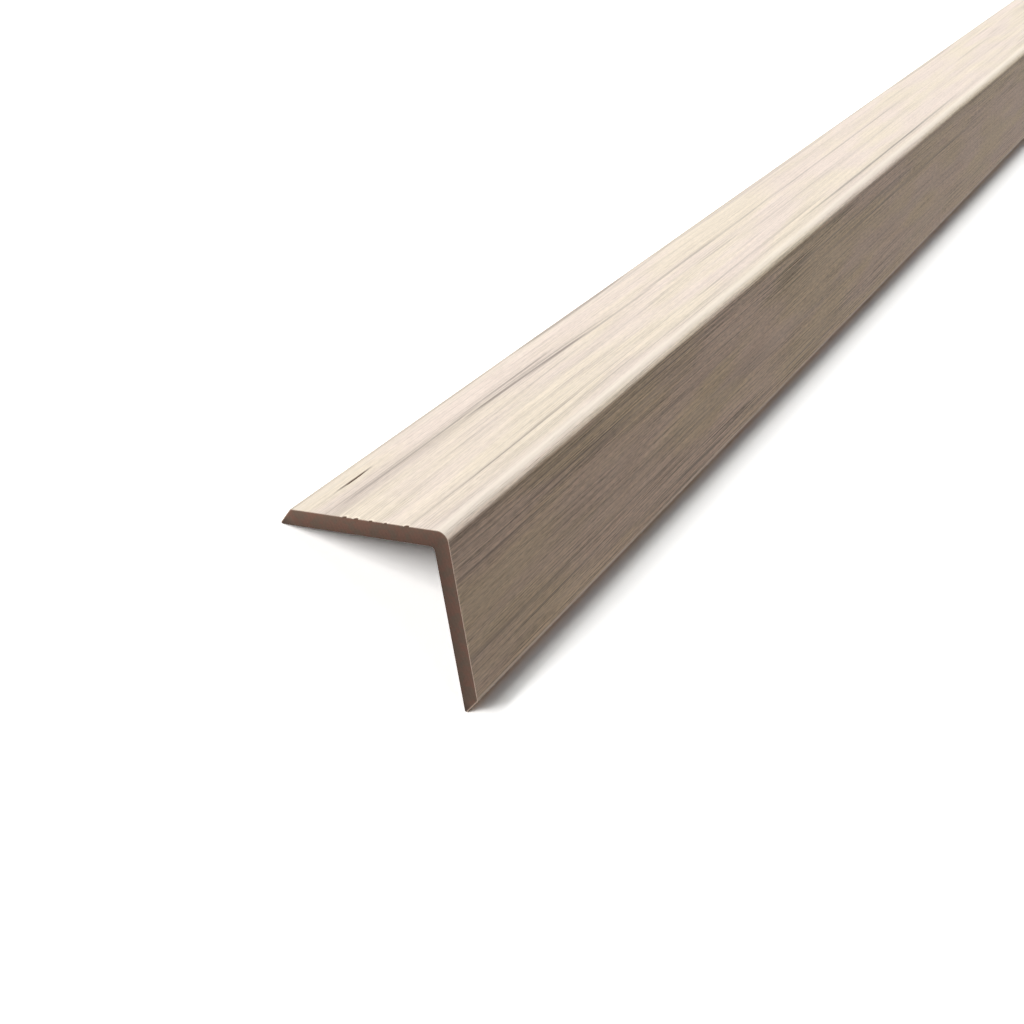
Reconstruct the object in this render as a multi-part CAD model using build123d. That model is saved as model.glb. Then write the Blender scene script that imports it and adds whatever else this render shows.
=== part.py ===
"""Composite cover strip: an equal-leg angle extruded in one piece, cut square to a stock length.

The strip lies as it does on a level floor: on its two leg tips, like a low roof, with the rounded arris on top.
X runs across the strip, Y along its length and Z up. The origin is on the floor, under the arris, at mid-length.
"""

import os
from math import radians, tan

from build123d import *

# Driving dimensions, in millimetres and degrees
STRIP_LENGTH = 2200.0  # stock length, cut square at both ends
LEG_WIDTH = 45.0  # each leg, from the outer corner to its tip
WALL = 4.0  # thickness of both legs
ARRIS_RADIUS = 2.5  # rounding of the outer corner
ROOT_RADIUS = 1.0  # fillet in the inner corner
NOSE_LAND = 0.5  # blunt nose left at the tip, square to the leg
BEVEL_ANGLE = 45.0  # slope of the tip's bevel, which starts on the outer face
EDGE_EASING = 0.2  # small rounding of the tip's edges

# Turns a leg that points along the section's X axis until both legs lean down from the arris alike
LEAN_ANGLE = -135.0


def angle_section() -> Face:
    """The section in its own axes: the outer corner at the origin, one leg along X and the other along Y."""
    bevel_run = (WALL - NOSE_LAND) / tan(radians(BEVEL_ANGLE))
    tip = [
        (LEG_WIDTH - bevel_run, 0),
        (LEG_WIDTH, WALL - NOSE_LAND),
        (LEG_WIDTH, WALL),
    ]
    swapped_tip = [(y, x) for x, y in reversed(tip)]
    outline = [(0, 0), *tip, (WALL, WALL), *swapped_tip]
    easings = [EDGE_EASING] * len(tip)
    radii = [ARRIS_RADIUS, *easings, ROOT_RADIUS, *easings]
    return make_face(FilletPolyline(*outline, radius=radii, close=True)).face()


def cover_strip() -> Part:
    """The whole strip, lying on its leg tips."""
    leaning = Rot(0, 0, LEAN_ANGLE) * angle_section()
    standing = Pos(0, -leaning.bounding_box().min.Y) * leaning
    return extrude(Plane.XZ * standing, amount=STRIP_LENGTH / 2, both=True)


os.makedirs("parts", exist_ok=True)
export_step(cover_strip(), "parts/cover_strip.step")
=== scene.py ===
"""Blender scene of a composite cover strip: a pale wood-look angle with a brown core, on its two leg tips.

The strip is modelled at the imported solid's sizes, with the embossed grain, the torn sawn edges and the open
check in the grain that the plain solid leaves out. Places are in metres in the solid's own frame: X across
the strip, Y along it from the front end to the back end, and Z up through the arris. Grain sizes are in
millimetres.
"""

import logging
import math
import random
from collections.abc import Callable, Mapping, Sequence
from dataclasses import dataclass, field
from enum import Enum
from typing import Any, ClassVar, Union

import bmesh
import bpy
import numpy as np
from mathutils import Euler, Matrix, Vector


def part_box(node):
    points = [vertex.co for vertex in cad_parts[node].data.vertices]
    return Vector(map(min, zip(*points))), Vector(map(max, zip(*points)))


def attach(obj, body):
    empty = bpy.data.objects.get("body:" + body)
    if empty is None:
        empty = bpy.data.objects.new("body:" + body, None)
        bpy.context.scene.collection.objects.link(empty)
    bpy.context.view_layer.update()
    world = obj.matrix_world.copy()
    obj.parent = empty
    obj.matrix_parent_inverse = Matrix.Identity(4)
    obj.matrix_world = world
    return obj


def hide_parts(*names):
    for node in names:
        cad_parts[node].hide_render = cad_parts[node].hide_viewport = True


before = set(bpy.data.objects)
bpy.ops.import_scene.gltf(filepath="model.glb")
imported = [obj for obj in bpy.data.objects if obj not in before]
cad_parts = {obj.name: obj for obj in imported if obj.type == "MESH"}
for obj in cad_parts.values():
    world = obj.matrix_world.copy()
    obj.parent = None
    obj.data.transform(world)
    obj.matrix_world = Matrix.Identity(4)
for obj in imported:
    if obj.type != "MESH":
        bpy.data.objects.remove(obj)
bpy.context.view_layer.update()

log = logging.getLogger("cover_strip")

MM = 0.001
MM_PER_METRE = 1000.0
ROOT_TWO = math.sqrt(2)

# The mean of Blender's noise
NOISE_MEAN = 0.5

# How closely a face's normal follows an axis if the face looks along it
SQUARE_ON = 0.9

Colour = tuple[float, float, float]
Step = tuple[float, float]
Operand = Union["Channel", float]


class Leg(Enum):
    """The strip's two legs, with the sign of X on each."""

    LEFT = -1
    RIGHT = 1


class StripEnd(Enum):
    """The strip's two sawn ends, with the sign of Y at each."""

    FRONT = -1
    BACK = 1


class Zone(Enum):
    """What a face of the strip shows, with its place among the piece's materials."""

    PALE_CAP = 0
    SAWN_END = 1
    INNER_FACE = 2


class Element(Enum):
    """The kinds of mesh element that a bench selects."""

    VERTEX = "VERT"
    EDGE = "EDGE"
    FACE = "FACE"


@dataclass(frozen=True)
class AngleSection:
    """Sizes of the angle, in metres, as the solid has them."""

    length: float
    leg: float = 45 * MM
    wall: float = 4 * MM
    arris_radius: float = 2.5 * MM
    root_radius: float = 1 * MM
    nose_land: float = 0.5 * MM
    easing: float = 0.2 * MM

    @property
    def bevel_run(self) -> float:
        """How far the tip's 45 degree bevel runs back along the outer face."""
        return self.wall - self.nose_land

    @property
    def bevel_easing(self) -> float:
        """How far the easing of the bevel's two edges, which turn by 45 degrees, runs along each face."""
        return self.easing * math.tan(math.radians(45 / 2))

    @property
    def half_length(self) -> float:
        """Distance from mid-length to either end."""
        return self.length / 2

    @property
    def corner_height(self) -> float:
        """Height of the sharp outer corner above the floor that the eased leg tips stand on."""
        return (self.leg + self.wall - (2 - ROOT_TWO) * self.easing) / ROOT_TWO

    @property
    def half_width(self) -> float:
        """Distance from the middle to the upright bevel of either tip."""
        return (self.leg - self.bevel_run) / ROOT_TWO


class Channel:
    """A number that changes over a surface; Python's operators on it add Math nodes."""

    def __init__(self, nodes: "NodeBench", socket: bpy.types.NodeSocket) -> None:
        """Keeps the node tree and its socket that gives the number."""
        self.nodes = nodes
        self.socket = socket

    def __add__(self, other: Operand) -> "Channel":
        """Sum."""
        return self.nodes.math("ADD", self, other)

    def __radd__(self, other: float) -> "Channel":
        """Sum with a plain number on the left."""
        return self.nodes.math("ADD", other, self)

    def __sub__(self, other: Operand) -> "Channel":
        """Difference."""
        return self.nodes.math("SUBTRACT", self, other)

    def __rsub__(self, other: float) -> "Channel":
        """Difference from a plain number."""
        return self.nodes.math("SUBTRACT", other, self)

    def __mul__(self, other: Operand) -> "Channel":
        """Product."""
        return self.nodes.math("MULTIPLY", self, other)

    def __rmul__(self, other: float) -> "Channel":
        """Product with a plain number on the left."""
        return self.nodes.math("MULTIPLY", other, self)

    def __truediv__(self, other: Operand) -> "Channel":
        """Quotient."""
        return self.nodes.math("DIVIDE", self, other)

    def __pow__(self, other: Operand) -> "Channel":
        """Power."""
        return self.nodes.math("POWER", self, other)

    def __rpow__(self, other: float) -> "Channel":
        """Power of a plain number."""
        return self.nodes.math("POWER", other, self)

    def __abs__(self) -> "Channel":
        """Size without sign."""
        return self.nodes.math("ABSOLUTE", self)

    def __neg__(self) -> "Channel":
        """Opposite."""
        return self.nodes.math("MULTIPLY", self, -1.0)

    def at_least(self, other: Operand) -> "Channel":
        """The larger of the two."""
        return self.nodes.math("MAXIMUM", self, other)

    def at_most(self, other: Operand) -> "Channel":
        """The smaller of the two."""
        return self.nodes.math("MINIMUM", self, other)

    def scaled(self, factor: float, offset: Operand) -> "Channel":
        """The channel times a number, plus an offset."""
        return self.nodes.math("MULTIPLY_ADD", self, factor, offset)

    def ramp(self, low: float, high: float, top: float = 1.0) -> "Channel":
        """A smooth step from 0 at low to the top at high.

        Args:
            low: The value that gives 0.
            high: The value that gives the top; it may be below low.
            top: What the step rises to.

        Returns:
            The step as a new channel.
        """
        node = self.nodes.add(
            "ShaderNodeMapRange",
            {"interpolation_type": "SMOOTHSTEP"},
            {"Value": self, "From Min": low, "From Max": high, "To Max": top},
        )
        return Channel(self.nodes, node.outputs["Result"])


@dataclass(frozen=True)
class Gain:
    """A strength that a channel changes: its base, and what the channel adds at 1."""

    base: float
    rise: float

    def at(self, channel: Channel) -> Channel:
        """The strength where the channel has its value."""
        return self.base + channel * self.rise


@dataclass(frozen=True)
class Mound:
    """A smooth bell across the strip: its middle and half-width in millimetres, and its height."""

    middle: float
    width: float
    height: float

    def over(self, across: Channel) -> Channel:
        """The bell's height at a place across the strip."""
        aside = (across - self.middle) / self.width
        return math.e ** -(aside * aside) * self.height


class NodeBench:
    """The node tree of a material or of the world, where nodes are added and joined."""

    def __init__(self, owner: "bpy.types.Material | bpy.types.World") -> None:
        """Starts with an empty tree.

        Args:
            owner: The material or world that has the tree.
        """
        owner.use_nodes = True
        self.tree = owner.node_tree
        self.tree.nodes.clear()

    def add(
        self,
        kind: str,
        settings: Mapping[str, Any] | None = None,
        inputs: Mapping[str | int, Any] | None = None,
    ) -> bpy.types.Node:
        """Adds one node.

        Args:
            kind: The node's type name.
            settings: Properties to set before the sockets are filled.
            inputs: Values, channels or sockets for the node's inputs, by name or place.

        Returns:
            The new node.
        """
        node = self.tree.nodes.new(kind)
        for key, value in (settings or {}).items():
            setattr(node, key, value)
        for key, value in (inputs or {}).items():
            if isinstance(value, Channel):
                value = value.socket
            if isinstance(value, bpy.types.NodeSocket):
                self.tree.links.new(value, node.inputs[key])
            else:
                node.inputs[key].default_value = value
        return node

    def math(self, operation: str, *operands: Operand) -> Channel:
        """Adds a Math node on channels or plain numbers, in order."""
        node = self.add("ShaderNodeMath", {"operation": operation}, dict(enumerate(operands)))
        return Channel(self, node.outputs[0])

    def seen(self) -> Channel:
        """Tells the rays that the camera sees by from the rays that only carry light.

        Returns:
            1 for a ray straight from the camera, off a gloss or through something clear, and 0 for any other.
        """
        path = self.add("ShaderNodeLightPath")
        straight, mirrored, through = (
            Channel(self, path.outputs[f"Is {ray} Ray"]) for ray in ("Camera", "Glossy", "Transmission")
        )
        return straight.at_least(mirrored).at_least(through)

    def show(self, surface: bpy.types.Node, output: str = "ShaderNodeOutputMaterial") -> None:
        """Ends the tree in a shader node, through the kind of output node that the tree has."""
        self.add(output, None, {"Surface": surface.outputs[0]})


class FinishNodes(NodeBench):
    """One material's node tree, with the strip's own coordinates in millimetres ready to read."""

    def __init__(self, name: str, section: AngleSection) -> None:
        """Starts an empty material.

        Args:
            name: The material's name.
            section: The angle whose coordinates the finish reads.
        """
        self.section = section
        self.material = bpy.data.materials.new(name)
        super().__init__(self.material)

    def mix(self, factor: Operand, first: Any, second: Any) -> bpy.types.NodeSocket:
        """Mixes two colours.

        Args:
            factor: How much of the second colour shows.
            first: A colour or the socket of one.
            second: A colour or the socket of one.

        Returns:
            The mixed colour's socket.
        """
        node = self.add(
            "ShaderNodeMix",
            {"data_type": "RGBA", "clamp_factor": True},
            {0: factor, 6: self.opaque(first), 7: self.opaque(second)},
        )
        return node.outputs[2]

    def dim(self, colour: bpy.types.NodeSocket, factor: Operand) -> bpy.types.NodeSocket:
        """Multiplies a colour by a number."""
        node = self.add("ShaderNodeVectorMath", {"operation": "SCALE"}, {0: colour, "Scale": factor})
        return node.outputs[0]

    @staticmethod
    def opaque(colour: Any) -> Any:
        """A plain colour with its alpha added; a socket stays as it is."""
        return (*colour, 1.0) if isinstance(colour, tuple) else colour

    def place(self) -> tuple[Channel, Channel, Channel]:
        """Where a point lies on the strip.

        Returns:
            Millimetres from the front end, millimetres round the outside from the arris (negative on the left
            leg), and millimetres above the floor.
        """
        where = self.add("ShaderNodeTexCoord").outputs["Object"]
        axes = self.add("ShaderNodeSeparateXYZ", None, {0: where})
        x, y, z = (Channel(self, axes.outputs[i]) for i in range(3))
        along = (y + self.section.half_length) * MM_PER_METRE
        return along, x * (ROOT_TWO * MM_PER_METRE), z * MM_PER_METRE

    def girth(self, across: Channel, height: Channel) -> Channel:
        """Millimetres round the outside from the arris, going on down the upright bevel of each tip."""
        bevel_top = (self.section.corner_height - self.section.half_width) / MM
        return across + self.math("SIGN", across) * (bevel_top - height).at_least(0.0)

    def skin_depth(self, across: Channel, height: Channel) -> Channel:
        """Depth below the strip's nominal outer skin: its two outer faces, rounded arris and tip bevels.

        Args:
            across: Millimetres round the outside from the arris.
            height: Millimetres above the floor.

        Returns:
            The depth in millimetres.
        """
        radius = self.section.arris_radius / MM
        drop = (self.section.corner_height / MM - height) / ROOT_TWO
        sideways = across * 0.5
        left_short = radius - (drop + sideways)
        right_short = radius - (drop - sideways)
        corner = (left_short.at_least(0.0) ** 2.0 + right_short.at_least(0.0) ** 2.0) ** 0.5
        outer = radius - corner - left_short.at_least(right_short).at_most(0.0)
        bevel = self.section.half_width / MM - abs(across) / ROOT_TWO
        return outer.at_most(bevel)

    def streaky(self, across: Channel, along: Channel, size: "StreakSize") -> Channel:
        """Noise drawn out along the strip.

        Args:
            across: Millimetres round the outside.
            along: Millimetres along the strip.
            size: How wide, long and rough its streaks are.

        Returns:
            Noise from 0 to 1, after the size's own step if it has one.
        """
        crosswise = across.scaled(1 / size.wide, size.seed)
        lengthwise = along.scaled(1 / size.long, size.seed)
        where = self.add("ShaderNodeCombineXYZ", None, {0: crosswise, 1: lengthwise})
        noise = self.add(
            "ShaderNodeTexNoise",
            {"noise_dimensions": "2D"},
            {"Vector": where.outputs[0], "Scale": 1.0, "Detail": size.detail, "Roughness": size.rough},
        )
        streaks = Channel(self, noise.outputs[0])
        return streaks.ramp(*size.step) if size.step else streaks

    def finish(
        self, colour: bpy.types.NodeSocket, roughness: Channel, height: Channel, relief: float, gloss: float
    ) -> bpy.types.Material:
        """Joins colour, roughness and relief in one surface.

        Args:
            colour: The surface's colour.
            roughness: Its roughness.
            height: Its relief, in units of the next value.
            relief: How high one unit stands, in metres.
            gloss: The shader's specular level.

        Returns:
            The finished material.
        """
        bump = self.add("ShaderNodeBump", None, {"Height": height, "Distance": relief, "Strength": 1.0})
        surface = self.add(
            "ShaderNodeBsdfPrincipled",
            None,
            {
                "Base Color": colour,
                "Roughness": roughness,
                "Normal": bump.outputs[0],
                "Specular IOR Level": gloss,
            },
        )
        self.show(surface)
        return self.material


@dataclass(frozen=True)
class StreakSize:
    """How a streaky noise looks: millimetres across and along, octaves, roughness, seed and any step."""

    wide: float
    long: float
    detail: float
    rough: float
    seed: float
    step: Step | None = None


@dataclass(frozen=True)
class GrainStreak:
    """One dark streak of the printed grain, in millimetres.

    Attributes:
        start: Where it begins, from the front end.
        end: Where it fades out, from the front end.
        across: Its distance from the arris at the start, negative on the left leg.
        drift: How far it wanders from there to its end.
        bow: How far its middle stands off the straight line.
        width: Half its width.
        strength: How much of the streak tone shows, from 0 to 1.
        fade: How far the ends fade, as a step of share * (1 - share) along the streak.
        edge: How far the sides fade, as a step in half-widths.
    """

    fade: ClassVar[Step] = (0.0, 0.22)
    edge: ClassVar[Step] = (1.7, 0.0)

    start: float
    end: float
    across: float
    drift: float
    bow: float
    width: float
    strength: float

    def mask(self, nodes: FinishNodes, along: Channel, across: Channel) -> Channel:
        """How strongly the streak shows at a point.

        Args:
            nodes: The node tree to draw in.
            along: Millimetres from the front end.
            across: Millimetres round the outside from the arris.

        Returns:
            From 0 to the streak's strength.
        """
        length = self.end - self.start
        share = along.scaled(1 / length, -self.start / length)
        hump = share * (1.0 - share)
        aside = across.scaled(1 / self.width, -self.across / self.width)
        if self.drift:
            aside = share.scaled(-self.drift / self.width, aside)
        if self.bow:
            # The hump is a quarter high at mid-length
            aside = hump.scaled(-4 * self.bow / self.width, aside)
        return hump.ramp(*self.fade, self.strength) * abs(aside).ramp(*self.edge)


@dataclass(frozen=True)
class PaleCap:
    """The pale wood-look skin fused to the outer faces: cream and rosy bands, fine grain lines and streaks.

    The grain shows more strongly on the right leg, whose olive and mauve print holds a painted warm shade. A
    painted highlight pales the skin along the arris's brow and the right tip's edge, the skin is paler beside
    the left tip's edge and darker along it, and painted shade darkens it beside the arris and over the right
    leg's upper part and front end. A swell in the relief over the arris softens its shading. Places across
    are millimetres round the outside from the arris, negative on the left leg, and places along are
    millimetres from the front end. A step says where a smooth change starts and where it is complete.
    """

    cream: Colour = (0.872, 0.768, 0.636)
    blush: Colour = (0.862, 0.744, 0.664)
    # Olive and mauve: the right leg's print, with a painted warm shade in them
    olive: Colour = (0.842, 0.718, 0.536)
    mauve: Colour = (0.846, 0.706, 0.588)
    rosy_grey: Colour = (0.640, 0.562, 0.488)
    highlight_pale_tone: Colour = (0.965, 0.874, 0.762)
    streak_tone: Colour = (0.330, 0.278, 0.244)
    check_tone: Colour = (0.100, 0.070, 0.054)
    bare_core: Colour = (0.110, 0.066, 0.046)
    hue: StreakSize = StreakSize(12.0, 70.0, 2.0, 0.5, 57.4, (0.35, 0.65))
    band: StreakSize = StreakSize(5.5, 240.0, 2.0, 0.5, 3.1, (0.36, 0.78))
    vein: StreakSize = StreakSize(1.7, 110.0, 3.0, 0.55, 11.7)
    line: StreakSize = StreakSize(0.38, 46.0, 1.0, 0.5, 23.3)
    pore: StreakSize = StreakSize(0.46, 22.0, 1.0, 0.5, 31.9, (0.56, 0.72))
    tick: StreakSize = StreakSize(0.36, 3.0, 2.0, 0.6, 83.1)
    cluster: StreakSize = StreakSize(7.0, 60.0, 1.0, 0.5, 71.6, (0.42, 0.64))
    sway: StreakSize = StreakSize(30.0, 170.0, 1.0, 0.5, 47.2)
    sway_reach: float = 3.0
    streak_sway: float = 0.5
    repeat: tuple[float, float] = (-60.0, 590.0)
    leg_turn: Step = (-2.0, 3.0)
    upper_part: Step = (18.0, 8.0)
    lower_part: Step = (27.0, 34.0)
    busy_start: Step = (340.0, 220.0)
    busy_end: Step = (470.0, 585.0)
    front_part: Step = (36.0, 6.0)
    band_tint: float = 0.22
    vein_flank: Step = (0.5, 0.75)
    vein_tint: float = 0.08
    vein_core: Step = (0.66, 0.80)
    vein_streak: float = 0.22
    vein_depth: float = 0.18
    line_level: float = 0.48
    line_lift: float = 0.06
    line_by_place: Gain = Gain(0.42, 0.50)
    line_by_cluster: Gain = Gain(0.85, 0.3)
    line_by_busy: Gain = Gain(0.65, 0.50)
    line_by_front: Gain = Gain(1.0, -0.4)
    pore_by_cluster: Gain = Gain(0.03, 0.02)
    pore_by_leg: Gain = Gain(1.0, 1.0)
    tick_by_leg: Gain = Gain(0.32, 0.36)
    print_level: float = 1.01
    upper_painted_shade: float = 0.06
    front_painted_shade: float = 0.05
    streak_by_line: Gain = Gain(0.40, 1.2)
    brow: Mound = Mound(-1.6, 1.6, 0.75)
    right_edge: float = 41.1
    right_edge_highlight: Step = (0.55, 0.15)
    left_edge_paling: tuple[Step, Step] = ((-37.6, -39.6), (-41.2, -40.6))
    left_edge_paling_share: float = 0.3
    paling_by_line: Gain = Gain(0.5, 1.0)
    left_edge: float = -41.2
    left_edge_reach: Step = (0.80, 0.1)
    left_edge_darkening_by_line: Gain = Gain(0.1, 0.5)
    right_arris_shade: Mound = Mound(2.95, 0.45, 1.15)
    left_arris_shade: Mound = Mound(-5.7, 1.5, 0.3)
    arris_shade_strength: float = 0.19
    check_stray: float = 0.3
    bare_step: Step = (0.128, 0.24)
    roughness: float = 0.50
    line_roughness: float = 0.25
    pore_roughness: float = 0.12
    bare_roughness: float = 0.3
    line_relief: float = 0.7
    vein_relief: float = 0.5
    tick_relief: float = 0.2
    pore_relief: float = 0.5
    swell_reach: Step = (-1.4, 3.2)
    swell_relief: float = 4.6
    relief: float = 0.10 * MM
    gloss: float = 0.12
    streaks: Sequence[GrainStreak] = (
        GrainStreak(-40, 108, -30.6, 0.0, 0.3, 3.20, 0.24),
        GrainStreak(-6, 70, -31.0, -0.2, 0.4, 0.50, 0.70),
        GrainStreak(-14, 48, -32.0, 0.3, 0.1, 0.36, 0.40),
        GrainStreak(42, 104, -31.6, 0.2, -0.1, 0.52, 0.66),
        GrainStreak(46, 124, -29.8, 2.3, -0.3, 0.52, 0.95),
        GrainStreak(58, 134, -30.7, 2.4, -0.3, 0.34, 0.50),
        GrainStreak(70, 150, -28.4, 1.5, -0.2, 0.34, 0.46),
        GrainStreak(104, 160, -27.9, 1.0, 0.2, 0.48, 0.55),
        GrainStreak(140, 214, -28.0, 0.0, 0.1, 0.50, 0.60),
        GrainStreak(150, 440, -27.9, -0.1, 0.1, 0.44, 0.44),
        GrainStreak(90, 172, -41.6, 0.0, 1.1, 0.62, 0.95),
        GrainStreak(142, 204, -39.4, -1.8, 0.4, 0.50, 0.50),
        GrainStreak(170, 370, -40.4, 0.2, 0.3, 0.60, 0.46),
        GrainStreak(420, 535, -40.6, 0.2, 0.4, 0.60, 0.60),
        GrainStreak(10, 84, -9.2, -0.1, 0.1, 0.34, 0.70),
        GrainStreak(-14, 112, -9.4, -0.1, 0.0, 0.60, 0.30),
        GrainStreak(130, 262, -9.4, 0.1, 0.0, 0.48, 0.42),
        GrainStreak(64, 104, -7.2, -0.6, 0.1, 0.30, 0.32),
        GrainStreak(215, 420, -7.1, 0.6, 0.4, 0.50, 0.80),
        GrainStreak(108, 164, -3.9, 0.1, 0.1, 0.24, 0.34),
        GrainStreak(112, 168, -5.2, 0.1, 0.1, 0.22, 0.30),
        GrainStreak(58, 104, -6.4, -0.1, 0.1, 0.22, 0.30),
        GrainStreak(172, 212, -22.3, 0.1, 0.1, 0.28, 0.40),
        GrainStreak(190, 305, -20.0, 0.7, 0.5, 0.42, 0.30),
        GrainStreak(24, 160, 4.6, 0.2, 0.0, 0.30, 0.55),
        GrainStreak(-10, 74, 5.2, 0.0, 0.0, 0.28, 0.48),
        GrainStreak(-12, 172, 8.2, 0.0, 0.0, 0.28, 0.58),
        GrainStreak(170, 340, 8.2, 0.0, 0.0, 0.34, 0.40),
        GrainStreak(36, 96, 9.8, 0.0, 0.0, 0.22, 0.45),
        GrainStreak(-20, 52, 12.1, 0.0, 0.0, 0.42, 0.55),
        GrainStreak(40, 170, 12.1, 0.0, 0.0, 0.34, 0.36),
        GrainStreak(190, 440, 12.2, 0.0, 0.0, 0.40, 0.52),
        GrainStreak(84, 166, 15.8, 0.0, 0.0, 0.26, 0.48),
        GrainStreak(40, 124, 24.6, 0.0, 0.0, 0.30, 0.40),
        GrainStreak(84, 190, 27.2, 0.0, 0.0, 0.28, 0.40),
        GrainStreak(-40, 60, 31.0, 0.0, 0.0, 0.80, 0.40),
        GrainStreak(-14, 120, 30.6, 0.0, 0.0, 0.28, 0.44),
        GrainStreak(8, 64, 34.4, 0.0, 0.0, 0.30, 0.62),
        GrainStreak(100, 142, 37.8, 0.4, 0.0, 0.40, 0.85),
        GrainStreak(76, 102, 38.8, 0.0, 0.0, 0.34, 0.56),
        GrainStreak(120, 184, 38.2, 0.0, 0.0, 0.32, 0.54),
        GrainStreak(178, 216, 36.7, 0.0, 0.0, 0.34, 0.66),
        GrainStreak(184, 236, 38.4, 0.0, 0.0, 0.30, 0.50),
    )
    check: GrainStreak = GrainStreak(9.0, 25.0, -36.35, 0.1, 0.0, 0.27, 0.80)

    def material(self, section: AngleSection) -> bpy.types.Material:
        """Builds the skin's material.

        Args:
            section: The angle that wears it.

        Returns:
            The material.
        """
        nodes = FinishNodes("pale_wood_cap", section)
        along, flat_across, height = nodes.place()
        girth = nodes.girth(flat_across, height)
        sway = nodes.streaky(girth, along, self.sway) - NOISE_MEAN
        across = girth + sway * self.sway_reach
        hue, band, vein, line, pore, tick, cluster = (
            nodes.streaky(across, along, size)
            for size in (self.hue, self.band, self.vein, self.line, self.pore, self.tick, self.cluster)
        )
        first, last = self.repeat
        lap = nodes.math("WRAP", along, last, first)
        right_leg = girth.ramp(*self.leg_turn)
        upper = girth.ramp(*self.upper_part) * right_leg
        lower = girth.ramp(*self.lower_part)
        busy = lap.ramp(*self.busy_start) + lap.ramp(*self.busy_end)
        front = along.ramp(*self.front_part) * right_leg

        tone = nodes.mix(hue, self.cream, self.blush)
        # The right leg's olive and mauve print holds a painted warm shade, as that leg faces away from the
        # key lamps
        tone = nodes.mix(right_leg, tone, nodes.mix(hue, self.olive, self.mauve))
        rosy = band * self.band_tint + vein.ramp(*self.vein_flank) * self.vein_tint
        tone = nodes.mix(rosy, tone, self.rosy_grey)
        veins = (NOISE_MEAN - vein) * self.vein_depth
        lines = (self.line_level - line).at_most(self.line_lift)
        lines = lines * self.line_by_place.at(right_leg + upper + lower) * self.line_by_cluster.at(cluster)
        lines = lines * self.line_by_busy.at(busy) * self.line_by_front.at(front)
        pores = pore * self.pore_by_cluster.at(cluster) * self.pore_by_leg.at(right_leg)
        ticks = (NOISE_MEAN - tick) * self.tick_by_leg.at(right_leg)
        # Painted shade: the right leg darker near the arris and towards its front end
        shade = upper * self.upper_painted_shade + front * self.front_painted_shade
        tone = nodes.dim(tone, self.print_level + veins + lines + ticks - pores - shade)

        stray = vein.ramp(*self.vein_core) * self.vein_streak
        swayed = girth + sway * self.streak_sway
        for streak in self.streaks:
            stray = stray.at_least(streak.mask(nodes, lap, swayed))
        tone = nodes.mix(stray * self.streak_by_line.at(line), tone, self.streak_tone)
        # Painted highlight along the arris's brow and the right tip's edge, and a paler band by the left
        # tip's edge
        tone = nodes.mix(self.highlight_and_paling(girth, line), tone, self.highlight_pale_tone)
        # Darker along the left tip's edge
        tone = nodes.mix(self.left_edge_darkening(girth, line), tone, self.streak_tone)
        # Painted shade beside the arris
        tone = nodes.dim(tone, 1.0 - self.arris_shade(girth) * self.arris_shade_strength)
        torn_across = girth + (line - NOISE_MEAN) * self.check_stray
        tone = nodes.mix(self.check.mask(nodes, along, torn_across), tone, self.check_tone)
        bare = nodes.skin_depth(flat_across, height).ramp(*self.bare_step)
        tone = nodes.mix(bare, tone, self.bare_core)

        roughness = self.roughness + (line - NOISE_MEAN) * self.line_roughness
        roughness = roughness + pore * self.pore_roughness + bare * self.bare_roughness
        grain = line * self.line_relief + vein * self.vein_relief + tick * self.tick_relief
        grain = grain - pore * self.pore_relief + girth.ramp(*self.swell_reach) * self.swell_relief
        return nodes.finish(tone, roughness, grain, self.relief, self.gloss)

    def highlight_and_paling(self, across: Channel, line: Channel) -> Channel:
        """How far the print is painted paler: a painted highlight along the arris's brow and the right tip's
        edge, and a paler band beside the left tip's edge.

        Args:
            across: Millimetres round the outside from the arris.
            line: The fine grain, which breaks the paling up.

        Returns:
            From 0 where the print keeps its tone to about 1 where it is palest.
        """
        rise, fall = self.left_edge_paling
        left = across.ramp(*rise) * across.ramp(*fall) * self.left_edge_paling_share
        tips = abs(across - self.right_edge).ramp(*self.right_edge_highlight) + left
        return self.brow.over(across).at_least(tips) * self.paling_by_line.at(line)

    def left_edge_darkening(self, across: Channel, line: Channel) -> Channel:
        """How much darker the skin is drawn along the left tip's edge, broken up by the fine grain."""
        return abs(across - self.left_edge).ramp(*self.left_edge_reach) * self.left_edge_darkening_by_line.at(line)

    def arris_shade(self, across: Channel) -> Channel:
        """Painted shade beside the arris: narrow on the right leg below the arris, soft on the left beside
        its brow.
        """
        return self.right_arris_shade.over(across) + self.left_arris_shade.over(across)


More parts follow.
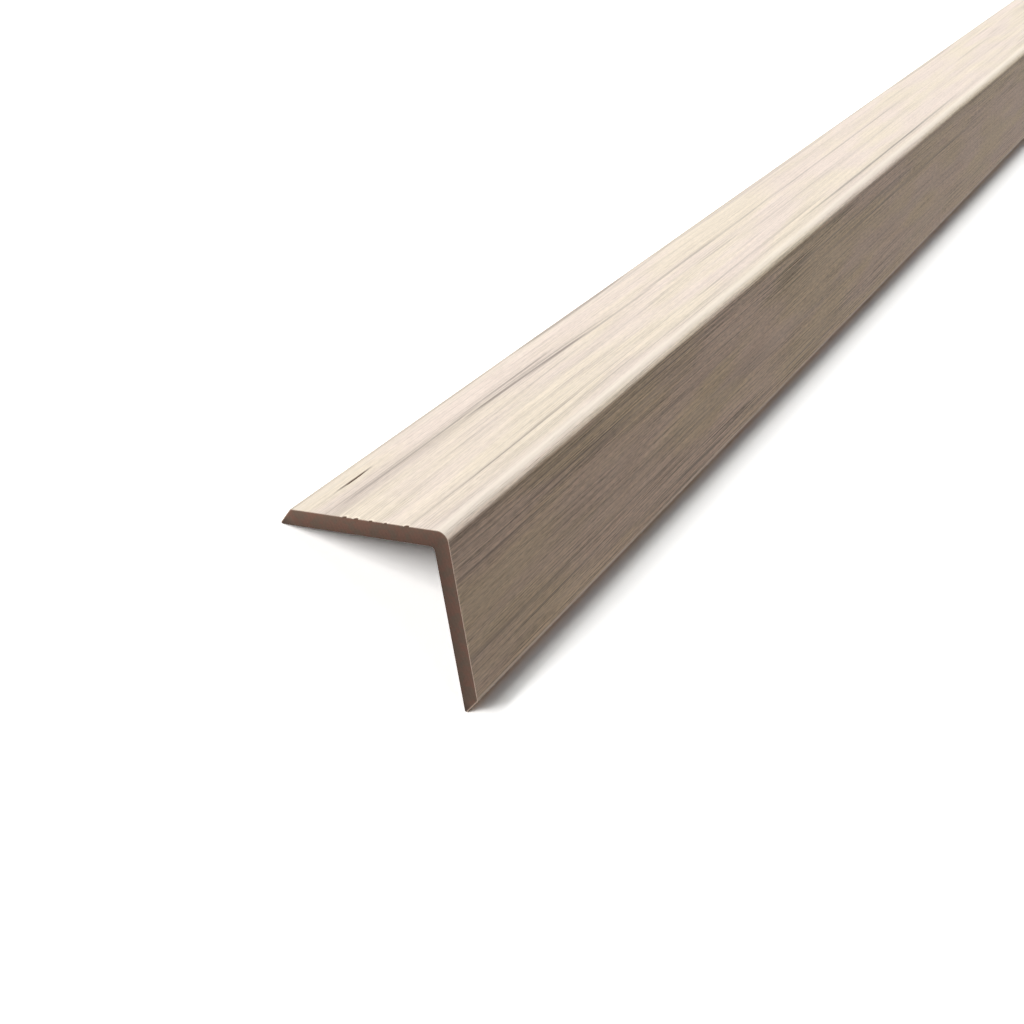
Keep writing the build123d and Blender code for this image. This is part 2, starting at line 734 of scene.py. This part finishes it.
@dataclass(frozen=True)
class BrownCore:
    """The raw brown composite: wood flour in plastic, mottled, with darker and paler flecks.

    The sawn end is darker away from the pale cap, towards the right leg and at the foot. Sizes, places across
    and heights are in millimetres.
    """

    umber: Colour = (0.092, 0.055, 0.040)
    russet: Colour = (0.118, 0.061, 0.044)
    grey_brown: Colour = (0.094, 0.064, 0.047)
    fleck: Colour = (0.182, 0.128, 0.094)
    cap_edge: Colour = (0.350, 0.272, 0.222)
    mottle_size: float = 3.2
    fleck_size: float = 0.55
    noise_detail: float = 3.0
    noise_rough: float = 0.6
    patch_step: Step = (0.42, 0.58)
    dark_step: Step = (0.35, 0.65)
    dark_share: float = 0.6
    fleck_step: Step = (0.66, 0.78)
    fleck_share: float = 0.45
    saw_pitch: float = 1.1
    saw_slant: float = 0.35
    saw_stray: float = 6.0
    score_shade: float = 0.05
    score_relief: float = 0.15
    sawn_by_speck: Gain = Gain(0.85, 0.26)
    left_fall: Step = (-36.0, -3.0)
    shade_by_left: Gain = Gain(1.04, -0.16)
    right_fall: Step = (-3.0, 8.0)
    right_shade: float = 0.10
    shade_by_depth: Gain = Gain(1.14, -0.11)
    foot: Step = (3.4, 0.6)
    shade_by_foot: Gain = Gain(1.0, -0.45)
    rim_stray: float = 0.16
    rim_step: Step = (0.234, 0.126)
    sawn_roughness: Gain = Gain(0.68, 0.2)
    flow: float = 0.25
    die_line: StreakSize = StreakSize(0.8, 300.0, 2.0, 0.6, 5.5)
    die_by_line: Gain = Gain(0.85, 0.45)
    die_roughness: Gain = Gain(0.47, 0.3)
    die_speck: float = 0.3
    relief: float = 0.12 * MM
    gloss: float = 0.22

    def cloudy(self, nodes: FinishNodes, where: bpy.types.NodeSocket, size: float) -> Channel:
        """Noise from 0 to 1 with clouds of one size, in millimetres."""
        grain = {"Scale": 1 / size, "Detail": self.noise_detail, "Roughness": self.noise_rough}
        return Channel(nodes, nodes.add("ShaderNodeTexNoise", None, {"Vector": where, **grain}).outputs[0])

    def mottled(
        self, nodes: FinishNodes, across: Channel, along: Channel, height: Channel
    ) -> tuple[bpy.types.NodeSocket, Channel]:
        """The composite's own colour.

        Args:
            nodes: The node tree to draw in.
            across: Millimetres round the outside.
            along: Millimetres along the strip.
            height: Millimetres above the floor.

        Returns:
            The colour's socket and the channel of its flecks.
        """
        axes = {0: across / ROOT_TWO, 1: along, 2: height}
        where = nodes.add("ShaderNodeCombineXYZ", None, axes).outputs[0]
        patch = self.cloudy(nodes, where, self.mottle_size)
        speck = self.cloudy(nodes, where, self.fleck_size)
        tone = nodes.mix(patch.ramp(*self.patch_step), self.russet, self.grey_brown)
        tone = nodes.mix(speck.ramp(*self.dark_step) * self.dark_share, tone, self.umber)
        tone = nodes.mix(speck.ramp(*self.fleck_step) * self.fleck_share, tone, self.fleck)
        return tone, speck

    def sawn(self, section: AngleSection) -> bpy.types.Material:
        """Builds the sawn end's material, with the cut edge of the pale cap as its rim.

        Args:
            section: The angle that wears it.

        Returns:
            The material.
        """
        nodes = FinishNodes("sawn_brown_core", section)
        along, across, height = nodes.place()
        tone, speck = self.mottled(nodes, across, along, height)
        sweep = (across * self.saw_slant + height) * (2 * math.pi / self.saw_pitch)
        score = nodes.math("SINE", sweep + speck * self.saw_stray) * 0.5 + 0.5
        depth = nodes.skin_depth(across, height)
        shade = self.shade_by_left.at(across.ramp(*self.left_fall))
        shade = shade - across.ramp(*self.right_fall) * self.right_shade
        shade = shade * self.shade_by_depth.at(depth) * self.shade_by_foot.at(height.ramp(*self.foot))
        tone = nodes.dim(tone, (self.sawn_by_speck.at(speck) + score * self.score_shade) * shade)
        rim = (depth + (speck - NOISE_MEAN) * self.rim_stray).ramp(*self.rim_step)
        tone = nodes.mix(rim, tone, self.cap_edge)
        grain = score * self.score_relief + speck
        return nodes.finish(tone, self.sawn_roughness.at(speck), grain, self.relief, self.gloss)

    def extruded(self, section: AngleSection) -> bpy.types.Material:
        """Builds the inner faces' material, with the fine lengthwise lines that the extrusion die leaves.

        Args:
            section: The angle that wears it.

        Returns:
            The material.
        """
        nodes = FinishNodes("extruded_brown_core", section)
        along, across, height = nodes.place()
        tone, speck = self.mottled(nodes, across, along * self.flow, height)
        line = nodes.streaky(across, along, self.die_line)
        tone = nodes.dim(tone, self.die_by_line.at(line))
        grain = line + speck * self.die_speck
        return nodes.finish(tone, self.die_roughness.at(line), grain, self.relief, self.gloss)


class MeshBench:
    """Handwork in edit mode on one piece: elements are picked by place, then an operator shapes them."""

    def __init__(self, piece: bpy.types.Object) -> None:
        """Takes the piece that is worked on."""
        self.piece = piece

    def __enter__(self) -> "MeshBench":
        """Opens edit mode."""
        bpy.ops.object.mode_set(mode="EDIT")
        return self

    def __exit__(self, *_: object) -> None:
        """Closes edit mode."""
        bpy.ops.object.mode_set(mode="OBJECT")

    def pick(self, kind: Element, wanted: Callable[[Any], bool]) -> None:
        """Selects the elements that a test accepts, and no others.

        Args:
            kind: The kind of element.
            wanted: The test.
        """
        bpy.ops.mesh.select_mode(type=kind.value)
        bpy.ops.mesh.select_all(action="DESELECT")
        cage = bmesh.from_edit_mesh(self.piece.data)
        groups = {Element.VERTEX: cage.verts, Element.EDGE: cage.edges, Element.FACE: cage.faces}
        for element in groups[kind]:
            if wanted(element):
                element.select_set(True)
        cage.select_flush_mode()
        bmesh.update_edit_mesh(self.piece.data)

    def pick_nearest(self, place: Vector) -> None:
        """Selects the one vertex that is nearest to a place.

        Args:
            place: The place, in metres.
        """
        cage = bmesh.from_edit_mesh(self.piece.data)
        nearest = min(cage.verts, key=lambda vertex: (vertex.co - place).length_squared)
        self.pick(Element.VERTEX, lambda vertex: vertex == nearest)


@dataclass(frozen=True)
class MapBand:
    """A stretch of the bake map, by its start and its size."""

    start: float
    size: float

    def at(self, share: np.ndarray) -> np.ndarray:
        """Where shares of the stretch lie on the map."""
        return self.start + self.size * share


@dataclass
class CoverStrip:
    """The strip's visible mesh, modelled upright on its section's own axes and then leant on its leg tips.

    On those axes the left leg lies flat along -X with its outer face up, the right leg hangs down along -Z
    with its outer face towards +X, and the sharp outer corner is the Y axis. The rows' distances from an end
    and the tears' depths and widths are in millimetres, and the map's bands are shares of the bake map.
    """

    section: AngleSection
    outer_columns: int = 96
    inner_columns: int = 14
    bevel_columns: int = 4
    arris_segments: int = 12
    root_segments: int = 6
    easing_segments: int = 2
    end_rows: Sequence[float] = (0.2, 0.45, 0.75, 1.1, 1.5, 2.1, 3.0, 4.5, 7, 10, 13, 16, 19, 22, 25)
    coarse_stretches: int = 90
    rows_per_stretch: int = 3
    cut_rim: float = 0.25 * MM
    tear_pitch: float = 4.1 * MM
    tear_start: float = 10.9 * MM
    tears_per_leg: int = 5
    tear_stray: float = 0.2
    tear_depth: tuple[float, float] = (0.30, 0.45)
    tear_width: tuple[float, float] = (0.8, 1.5)
    right_tear: float = 0.4
    tear_seed: int = 14
    check_across: float = 36.35 * MM
    check_reach: tuple[float, float] = (11 * MM, 24 * MM)
    check_depth: float = 0.16 * MM
    emboss_wave: tuple[float, float, float] = (3.2 * MM, 140 * MM, 0.08 * MM)
    emboss_line: tuple[float, float, float] = (0.9 * MM, 40 * MM, 0.05 * MM)
    wide_face: float = 10 * MM
    lean: float = -45.0
    end_facing: float = 0.6
    cap_facing: float = -0.3
    smooth_angle: float = 30.0
    length_band: MapBand = MapBand(0.01, 0.98)
    cap_band: MapBand = MapBand(0.02, 0.46)
    inner_band: MapBand = MapBand(0.52, 0.28)
    end_band: MapBand = MapBand(0.82, 0.16)
    end_starts: tuple[float, float] = (0.2, 0.6)
    tip_share: float = 0.7
    tolerance: float = 0.01 * MM
    piece: bpy.types.Object = field(init=False)

    def build(self) -> bpy.types.Object:
        """Models and dresses the strip.

        Returns:
            The finished piece, named and in place.
        """
        self.block_out()
        with MeshBench(self.piece) as bench:
            self.shape_section(bench)
            self.divide_ends_and_faces(bench)
            self.close_ends(bench)
            self.tear_sawn_edges(bench)
            self.open_check(bench)
            self.divide_length(bench)
        self.lean_on_tips()
        self.emboss()
        self.dress()
        self.lay_out_bake_map()
        return self.piece

    def block_out(self) -> None:
        """Starts from a square bar at the corner, as long as the strip."""
        wall = self.section.wall
        bpy.ops.object.select_all(action="DESELECT")
        bpy.ops.mesh.primitive_cube_add(
            size=1, location=(-wall / 2, 0, -wall / 2), scale=(wall, self.section.length, wall)
        )
        self.piece = bpy.context.object
        self.piece.name = "capped_cover_strip"
        self.piece.data.name = "capped_cover_strip"
        bpy.ops.object.transform_apply(location=True, rotation=True, scale=True)

    def runs_at(self, *places: tuple[float, float]) -> Callable[[bmesh.types.BMEdge], bool]:
        """A test for lengthwise edges.

        Args:
            *places: The X and Z of each wanted edge; the same place on the other leg is wanted too.

        Returns:
            The test.
        """
        both = [*places, *((z, x) for x, z in places)]

        def wanted(edge: bmesh.types.BMEdge) -> bool:
            """True if both of the edge's vertices lie at one of the places."""
            return any(
                all(abs(v.co.x - x) < self.tolerance and abs(v.co.z - z) < self.tolerance for v in edge.verts)
                for x, z in both
            )

        return wanted

    def shape_section(self, bench: MeshBench) -> None:
        """Draws out both legs, bevels their tips, and rounds the arris, the inner corner and the tips' edges.

        Args:
            bench: The open edit.
        """
        section = self.section
        reach = section.leg - section.wall

        def under_corner(face: bmesh.types.BMFace) -> bool:
            """True for the face below the corner."""
            return face.normal.z < -SQUARE_ON and face.calc_center_median().x > -section.wall

        bench.pick(Element.FACE, lambda face: face.normal.x < -SQUARE_ON)
        bpy.ops.mesh.extrude_region_move(TRANSFORM_OT_translate={"value": (-reach, 0, 0)})
        bench.pick(Element.FACE, under_corner)
        bpy.ops.mesh.extrude_region_move(TRANSFORM_OT_translate={"value": (0, 0, -reach)})
        bench.pick(Element.FACE, lambda face: abs(face.normal.y) > SQUARE_ON)
        bpy.ops.mesh.delete(type="ONLY_FACE")

        cuts = (
            ([(-section.leg, 0)], section.bevel_run, 1),
            ([(0, 0)], section.arris_radius, self.arris_segments),
            ([(-section.wall, -section.wall)], section.root_radius, self.root_segments),
            (
                [(-(section.leg - section.bevel_run), 0), (-section.leg, -section.bevel_run)],
                section.bevel_easing,
                self.easing_segments,
            ),
            ([(-section.leg, -section.wall)], section.easing, self.easing_segments),
        )
        for places, offset, segments in cuts:
            bench.pick(Element.EDGE, self.runs_at(*places))
            bpy.ops.mesh.bevel(
                offset=offset, offset_type="OFFSET", segments=segments, profile=0.5, affect="EDGES"
            )

    def divide_ends_and_faces(self, bench: MeshBench) -> None:
        """Cuts close rows near the ends, then divides the wide faces into lengthwise columns.

        Args:
            bench: The open edit.
        """
        for end in StripEnd:
            for distance in self.end_rows:
                bpy.ops.mesh.select_all(action="SELECT")
                row = end.value * (self.section.half_length - distance * MM)
                bpy.ops.mesh.bisect(plane_co=(0, row, 0), plane_no=(0, 1, 0))

        def across(edge: bmesh.types.BMEdge) -> bool:
            """True for an edge that lies square to the length."""
            return abs(edge.verts[0].co.y - edge.verts[1].co.y) < self.tolerance

        def outside(edge: bmesh.types.BMEdge) -> bool:
            """True for an edge that lies in one of the outer faces."""
            tops = (max(vertex.co.x, vertex.co.z) for vertex in edge.verts)
            return all(abs(top) < self.tolerance for top in tops)

        wide = self.wide_face
        bevel = self.section.bevel_run
        bench.pick(Element.EDGE, lambda edge: across(edge) and edge.calc_length() > wide and outside(edge))
        bpy.ops.mesh.subdivide(number_cuts=self.outer_columns - 1)
        bench.pick(Element.EDGE, lambda edge: across(edge) and edge.calc_length() > wide)
        bpy.ops.mesh.subdivide(number_cuts=self.inner_columns - 1)
        bench.pick(Element.EDGE, lambda edge: across(edge) and edge.calc_length() > bevel)
        bpy.ops.mesh.subdivide(number_cuts=self.bevel_columns - 1)

    def close_ends(self, bench: MeshBench) -> None:
        """Fills both sawn ends and leaves a narrow rim round each, for the saw to tear.

        Args:
            bench: The open edit.
        """
        for end in StripEnd:
            cut = end.value * self.section.half_length

            def at_cut(element: Any, cut: float = cut) -> bool:
                """True if all of the element's vertices lie in the cut."""
                return all(abs(vertex.co.y - cut) < self.tolerance for vertex in element.verts)

            bench.pick(Element.EDGE, at_cut)
            bpy.ops.mesh.edge_face_add()
            bench.pick(Element.FACE, at_cut)
            bpy.ops.mesh.inset(thickness=self.cut_rim, depth=0)
        bpy.ops.mesh.select_all(action="SELECT")
        bpy.ops.mesh.normals_make_consistent(inside=False)

    def tear_sawn_edges(self, bench: MeshBench) -> None:
        """Tears small flakes of the cap out of the sawn edges, about one at each bite of the saw.

        Args:
            bench: The open edit.
        """
        draw = random.Random(self.tear_seed)
        for end in StripEnd:
            for leg in Leg:
                for bite in range(self.tears_per_leg):
                    stray = draw.uniform(-self.tear_stray, self.tear_stray)
                    out = self.tear_start + self.tear_pitch * (bite + stray)
                    share = 1.0 if leg is Leg.LEFT else self.right_tear
                    depth = draw.uniform(*self.tear_depth) * share * MM
                    size = draw.uniform(*self.tear_width) * MM
                    cut = end.value * self.section.half_length
                    if leg is Leg.LEFT:
                        place, push = Vector((-out, cut, 0)), (0, 0, -depth)
                    else:
                        place, push = Vector((0, cut, -out)), (-depth, 0, 0)
                    bench.pick_nearest(place)
                    bpy.ops.transform.translate(
                        value=push,
                        use_proportional_edit=True,
                        proportional_edit_falloff="SMOOTH",
                        proportional_size=size,
                    )

    def open_check(self, bench: MeshBench) -> None:
        """Opens the short check in the left leg's grain near the front end, deepest in its middle.

        Args:
            bench: The open edit.
        """
        half_column = (self.section.leg - self.section.wall - self.section.bevel_run) / self.outer_columns / 2
        start, end = (reach - self.section.half_length for reach in self.check_reach)
        for trim in (0, (end - start) / 4):

            def in_check(vertex: bmesh.types.BMVert, trim: float = trim) -> bool:
                """True for a vertex of the outer face that lies in the check."""
                beside = abs(vertex.co.x + self.check_across) <= half_column
                outside = vertex.co.z > -self.section.wall / 2
                return beside and outside and start + trim <= vertex.co.y <= end - trim

            bench.pick(Element.VERTEX, in_check)
            bpy.ops.transform.translate(value=(0, 0, -self.check_depth))

    def divide_length(self, bench: MeshBench) -> None:
        """Divides the long stretch between the ends into rows.

        Args:
            bench: The open edit.
        """

        def longer(least: float) -> Callable[[bmesh.types.BMEdge], bool]:
            """A test for lengthwise edges over that length."""
            return lambda edge: abs(edge.verts[0].co.y - edge.verts[1].co.y) > least

        stretch = (self.section.length - 2 * self.end_rows[-1] * MM) / self.coarse_stretches
        bench.pick(Element.EDGE, longer(2 * stretch))
        bpy.ops.mesh.subdivide(number_cuts=self.coarse_stretches - 1)
        bench.pick(Element.EDGE, longer(stretch / 2))
        bpy.ops.mesh.subdivide(number_cuts=self.rows_per_stretch - 1)

    def lean_on_tips(self) -> None:
        """Turns the angle so that both legs lean down alike, and stands it on the floor."""
        self.piece.rotation_euler = Euler((0, math.radians(self.lean), 0))
        self.piece.location = (0, 0, self.section.corner_height)
        bpy.ops.object.transform_apply(location=True, rotation=True, scale=True)

    def emboss(self) -> None:
        """Presses the grain into the outer faces: broad waves, then narrow lines, both inwards only."""
        limit = self.section.half_width - self.section.easing

        def on_outer_face(vertex: bmesh.types.BMVert) -> bool:
            """True on both flat outer faces, away from the tips' edges."""
            depth = (self.section.corner_height - abs(vertex.co.x) - vertex.co.z) / ROOT_TWO
            return abs(vertex.co.x) < limit and abs(depth) < self.tolerance

        with MeshBench(self.piece) as bench:
            bench.pick(Element.VERTEX, on_outer_face)
            bpy.ops.object.vertex_group_add()
            bpy.ops.object.vertex_group_assign()
        pressed = self.piece.vertex_groups.active.name
        for name, (wide, long, deep) in (("grain_wave", self.emboss_wave), ("grain_line", self.emboss_line)):
            bpy.ops.object.empty_add()
            stretch = bpy.context.object
            stretch.scale = (wide, long, wide)
            bpy.context.view_layer.update()
            pattern = bpy.data.textures.new(name, "CLOUDS")
            pattern.noise_scale = 1.0
            pattern.noise_depth = 1
            bpy.ops.object.select_all(action="DESELECT")
            self.piece.select_set(True)
            bpy.context.view_layer.objects.active = self.piece
            press = self.piece.modifiers.new(name, "DISPLACE")
            press.texture = pattern
            press.texture_coords = "OBJECT"
            press.texture_coords_object = stretch
            press.vertex_group = pressed
            press.mid_level = 0.0
            press.strength = -deep
            bpy.ops.object.modifier_apply(modifier=press.name)
            bpy.data.objects.remove(stretch)
        bpy.ops.object.vertex_group_remove(all=True)

    def dress(self) -> None:
        """Gives each face its finish: cap on the outside, sawn core on the ends, extruded core inside."""
        core = BrownCore()
        finishes = {
            Zone.PALE_CAP: PaleCap().material(self.section),
            Zone.SAWN_END: core.sawn(self.section),
            Zone.INNER_FACE: core.extruded(self.section),
        }

        def zone_of(face: bmesh.types.BMFace) -> Zone:
            """What a face shows, by the way it faces."""
            if abs(face.normal.y) > self.end_facing:
                return Zone.SAWN_END
            return Zone.PALE_CAP if face.normal.z > self.cap_facing else Zone.INNER_FACE

        for zone in Zone:
            self.piece.data.materials.append(finishes[zone])
        with MeshBench(self.piece) as bench:
            for zone in Zone:
                bench.pick(Element.FACE, lambda face, zone=zone: zone_of(face) is zone)
                self.piece.active_material_index = zone.value
                bpy.ops.object.material_slot_assign()
        bpy.ops.object.shade_smooth_by_angle(angle=math.radians(self.smooth_angle))

    def lay_out_bake_map(self) -> None:
        """Lays the skin out flat for textures: the length across the map, the girth up it, ends on top."""
        mesh = self.piece.data
        layer = mesh.uv_layers.new(name="OFBake")
        places = np.empty(len(mesh.vertices) * 3)
        mesh.vertices.foreach_get("co", places)
        corners = np.empty(len(mesh.loops), dtype=int)
        mesh.loops.foreach_get("vertex_index", corners)
        zones = np.repeat(
            [face.material_index for face in mesh.polygons], [face.loop_total for face in mesh.polygons]
        )
        x, y, z = places.reshape(-1, 3)[corners].T
        section = self.section
        near_tip = np.abs(x) > section.half_width * self.tip_share
        round_tip = np.maximum(section.corner_height - np.abs(x) - z, 0) * near_tip
        girth = x * ROOT_TWO + np.sign(x) * round_tip
        along = self.length_band.at(y / section.length + 0.5)
        outer = self.cap_band.at(girth / (2 * section.leg) + 0.5)
        inner = self.inner_band.at(x / (2 * section.half_width) + 0.5)
        per_metre = self.end_band.size / section.corner_height
        end_u = np.where(y < 0, *self.end_starts) + (x + section.half_width) * per_metre
        end_v = self.end_band.start + z * per_metre
        is_end, is_cap = zones == Zone.SAWN_END.value, zones == Zone.PALE_CAP.value
        u = np.where(is_end, end_u, along)
        v = np.where(is_end, end_v, np.where(is_cap, outer, inner))
        layer.data.foreach_set("uv", np.column_stack((u, v)).ravel())


@dataclass(frozen=True)
class StudioLight:
    """A soft lamp, or a row of them in line with the strip like one long soft box.

    Attributes:
        name: The lamp's name.
        lean: Degrees from -X, up over the strip, to the lamp, as seen along the strip.
        forward: How far towards -Y the row's two ends lie, as shares of the lamp's distance from the strip.
        count: How many lamps the row has.
        level: What a white face turned to the lamps shows.
        spread: Degrees across one lamp as the strip sees it.
        tint: The lamps' colour.
        distance: How far off, in metres, each lamp stands; its light is the same at any distance.
    """

    name: str
    lean: float
    forward: tuple[float, float]
    count: int
    level: float
    spread: float
    tint: Colour
    distance: ClassVar[float] = 2.0

    def place(self) -> None:
        """Adds the lamps."""
        lean = math.radians(self.lean)
        for forward in np.linspace(*self.forward, self.count):
            towards = Vector((-math.cos(lean), -float(forward), math.sin(lean))).normalized()
            bpy.ops.object.light_add(type="SUN", location=towards * self.distance)
            lamp = bpy.context.object
            lamp.name = self.name
            lamp.rotation_euler = towards.to_track_quat("Z", "Y").to_euler()
            lamp.data.energy = self.level * math.pi / self.count
            lamp.data.angle = math.radians(self.spread)
            lamp.data.color = self.tint


@dataclass(frozen=True)
class Studio:
    """The plain white studio: a floor, soft lamps, a pale surround and the camera."""

    floor_size: float = 40.0
    floor_grey: float = 0.60
    floor_white: float = 1.46
    surround: float = 0.014
    surround_tint: Colour = (0.93, 0.97, 1.0)
    lamps: Sequence[StudioLight] = (
        StudioLight("key_lamp", 43.2, (0.85, 1.55), 5, 0.79, 4.4, (1.0, 0.99, 0.98)),
        StudioLight("top_lamp", 55.0, (0.9, 1.5), 3, 0.63, 16.0, (1.0, 0.98, 0.95)),
        StudioLight("overhead_lamp", 78.0, (0.0, 0.0), 1, 0.075, 24.0, (0.75, 0.90, 1.0)),
        StudioLight("right_reflector", 177.0, (0.0, 0.0), 1, 0.10, 8.0, (1.0, 0.47, 0.20)),
    )
    camera_place: tuple[float, float, float] = (22.6 * MM, -1301.5 * MM, 232.9 * MM)
    camera_heading: float = 4.41
    camera_depression: float = 41.97
    camera_roll: float = 42.39
    camera_lens: float = 48.93
    camera_sensor: float = 36.0
    camera_clip: float = 10 * MM

    def build(self) -> None:
        """Sets up the whole studio."""
        self.lay_floor()
        self.light_surround()
        for lamp in self.lamps:
            lamp.place()
        self.set_camera()
        bpy.context.scene.view_settings.view_transform = "Standard"

    def lay_floor(self) -> None:
        """Lays the floor, which shows white to the camera and keeps the strip's shadow."""
        bpy.ops.object.select_all(action="DESELECT")
        bpy.ops.mesh.primitive_plane_add(size=self.floor_size)
        floor = bpy.context.object
        floor.name = "studio_floor"
        finish = bpy.data.materials.new("white_floor")
        nodes = NodeBench(finish)
        plain, white = (
            nodes.add("ShaderNodeBsdfDiffuse", None, {"Color": (level, level, level, 1.0)}).outputs[0]
            for level in (self.floor_grey, self.floor_white)
        )
        nodes.show(nodes.add("ShaderNodeMixShader", None, {0: nodes.seen(), 1: plain, 2: white}))
        floor.data.materials.append(finish)

    def light_surround(self) -> None:
        """Surrounds the strip with pale light that shows white to the camera and in reflections."""
        world = bpy.data.worlds.new("pale_surround")
        nodes = NodeBench(world)
        lit, white = (
            nodes.add("ShaderNodeBackground", None, {"Color": (*tint, 1.0), "Strength": strength}).outputs[0]
            for tint, strength in ((self.surround_tint, self.surround), ((1.0, 1.0, 1.0), 1.0))
        )
        mixed = nodes.add("ShaderNodeMixShader", None, {0: nodes.seen(), 1: lit, 2: white})
        nodes.show(mixed, "ShaderNodeOutputWorld")
        bpy.context.scene.world = world

    def set_camera(self) -> None:
        """Places the camera above the front end, looking down along the strip with its frame rolled."""
        bpy.ops.object.camera_add(location=self.camera_place)
        camera = bpy.context.object
        camera.name = "studio_camera"
        level = Euler((math.radians(90 - self.camera_depression), 0, math.radians(self.camera_heading)))
        rolled = level.to_matrix() @ Euler((0, 0, math.radians(self.camera_roll))).to_matrix()
        camera.rotation_euler = rolled.to_euler()
        camera.data.lens = self.camera_lens
        camera.data.sensor_width = self.camera_sensor
        camera.data.clip_start = self.camera_clip
        bpy.context.scene.camera = camera


def main() -> None:
    """Builds the strip and its studio."""
    logging.basicConfig(level=logging.INFO, format="%(name)s: %(message)s")
    low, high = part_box("cover_strip")
    section = AngleSection(length=high[1] - low[1])
    strip = CoverStrip(section).build()
    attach(strip, "root")
    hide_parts("cover_strip")
    strip.data.calc_loop_triangles()
    log.info("%s: %d triangles", strip.name, len(strip.data.loop_triangles))
    Studio().build()


if __name__ == "__main__":
    main()
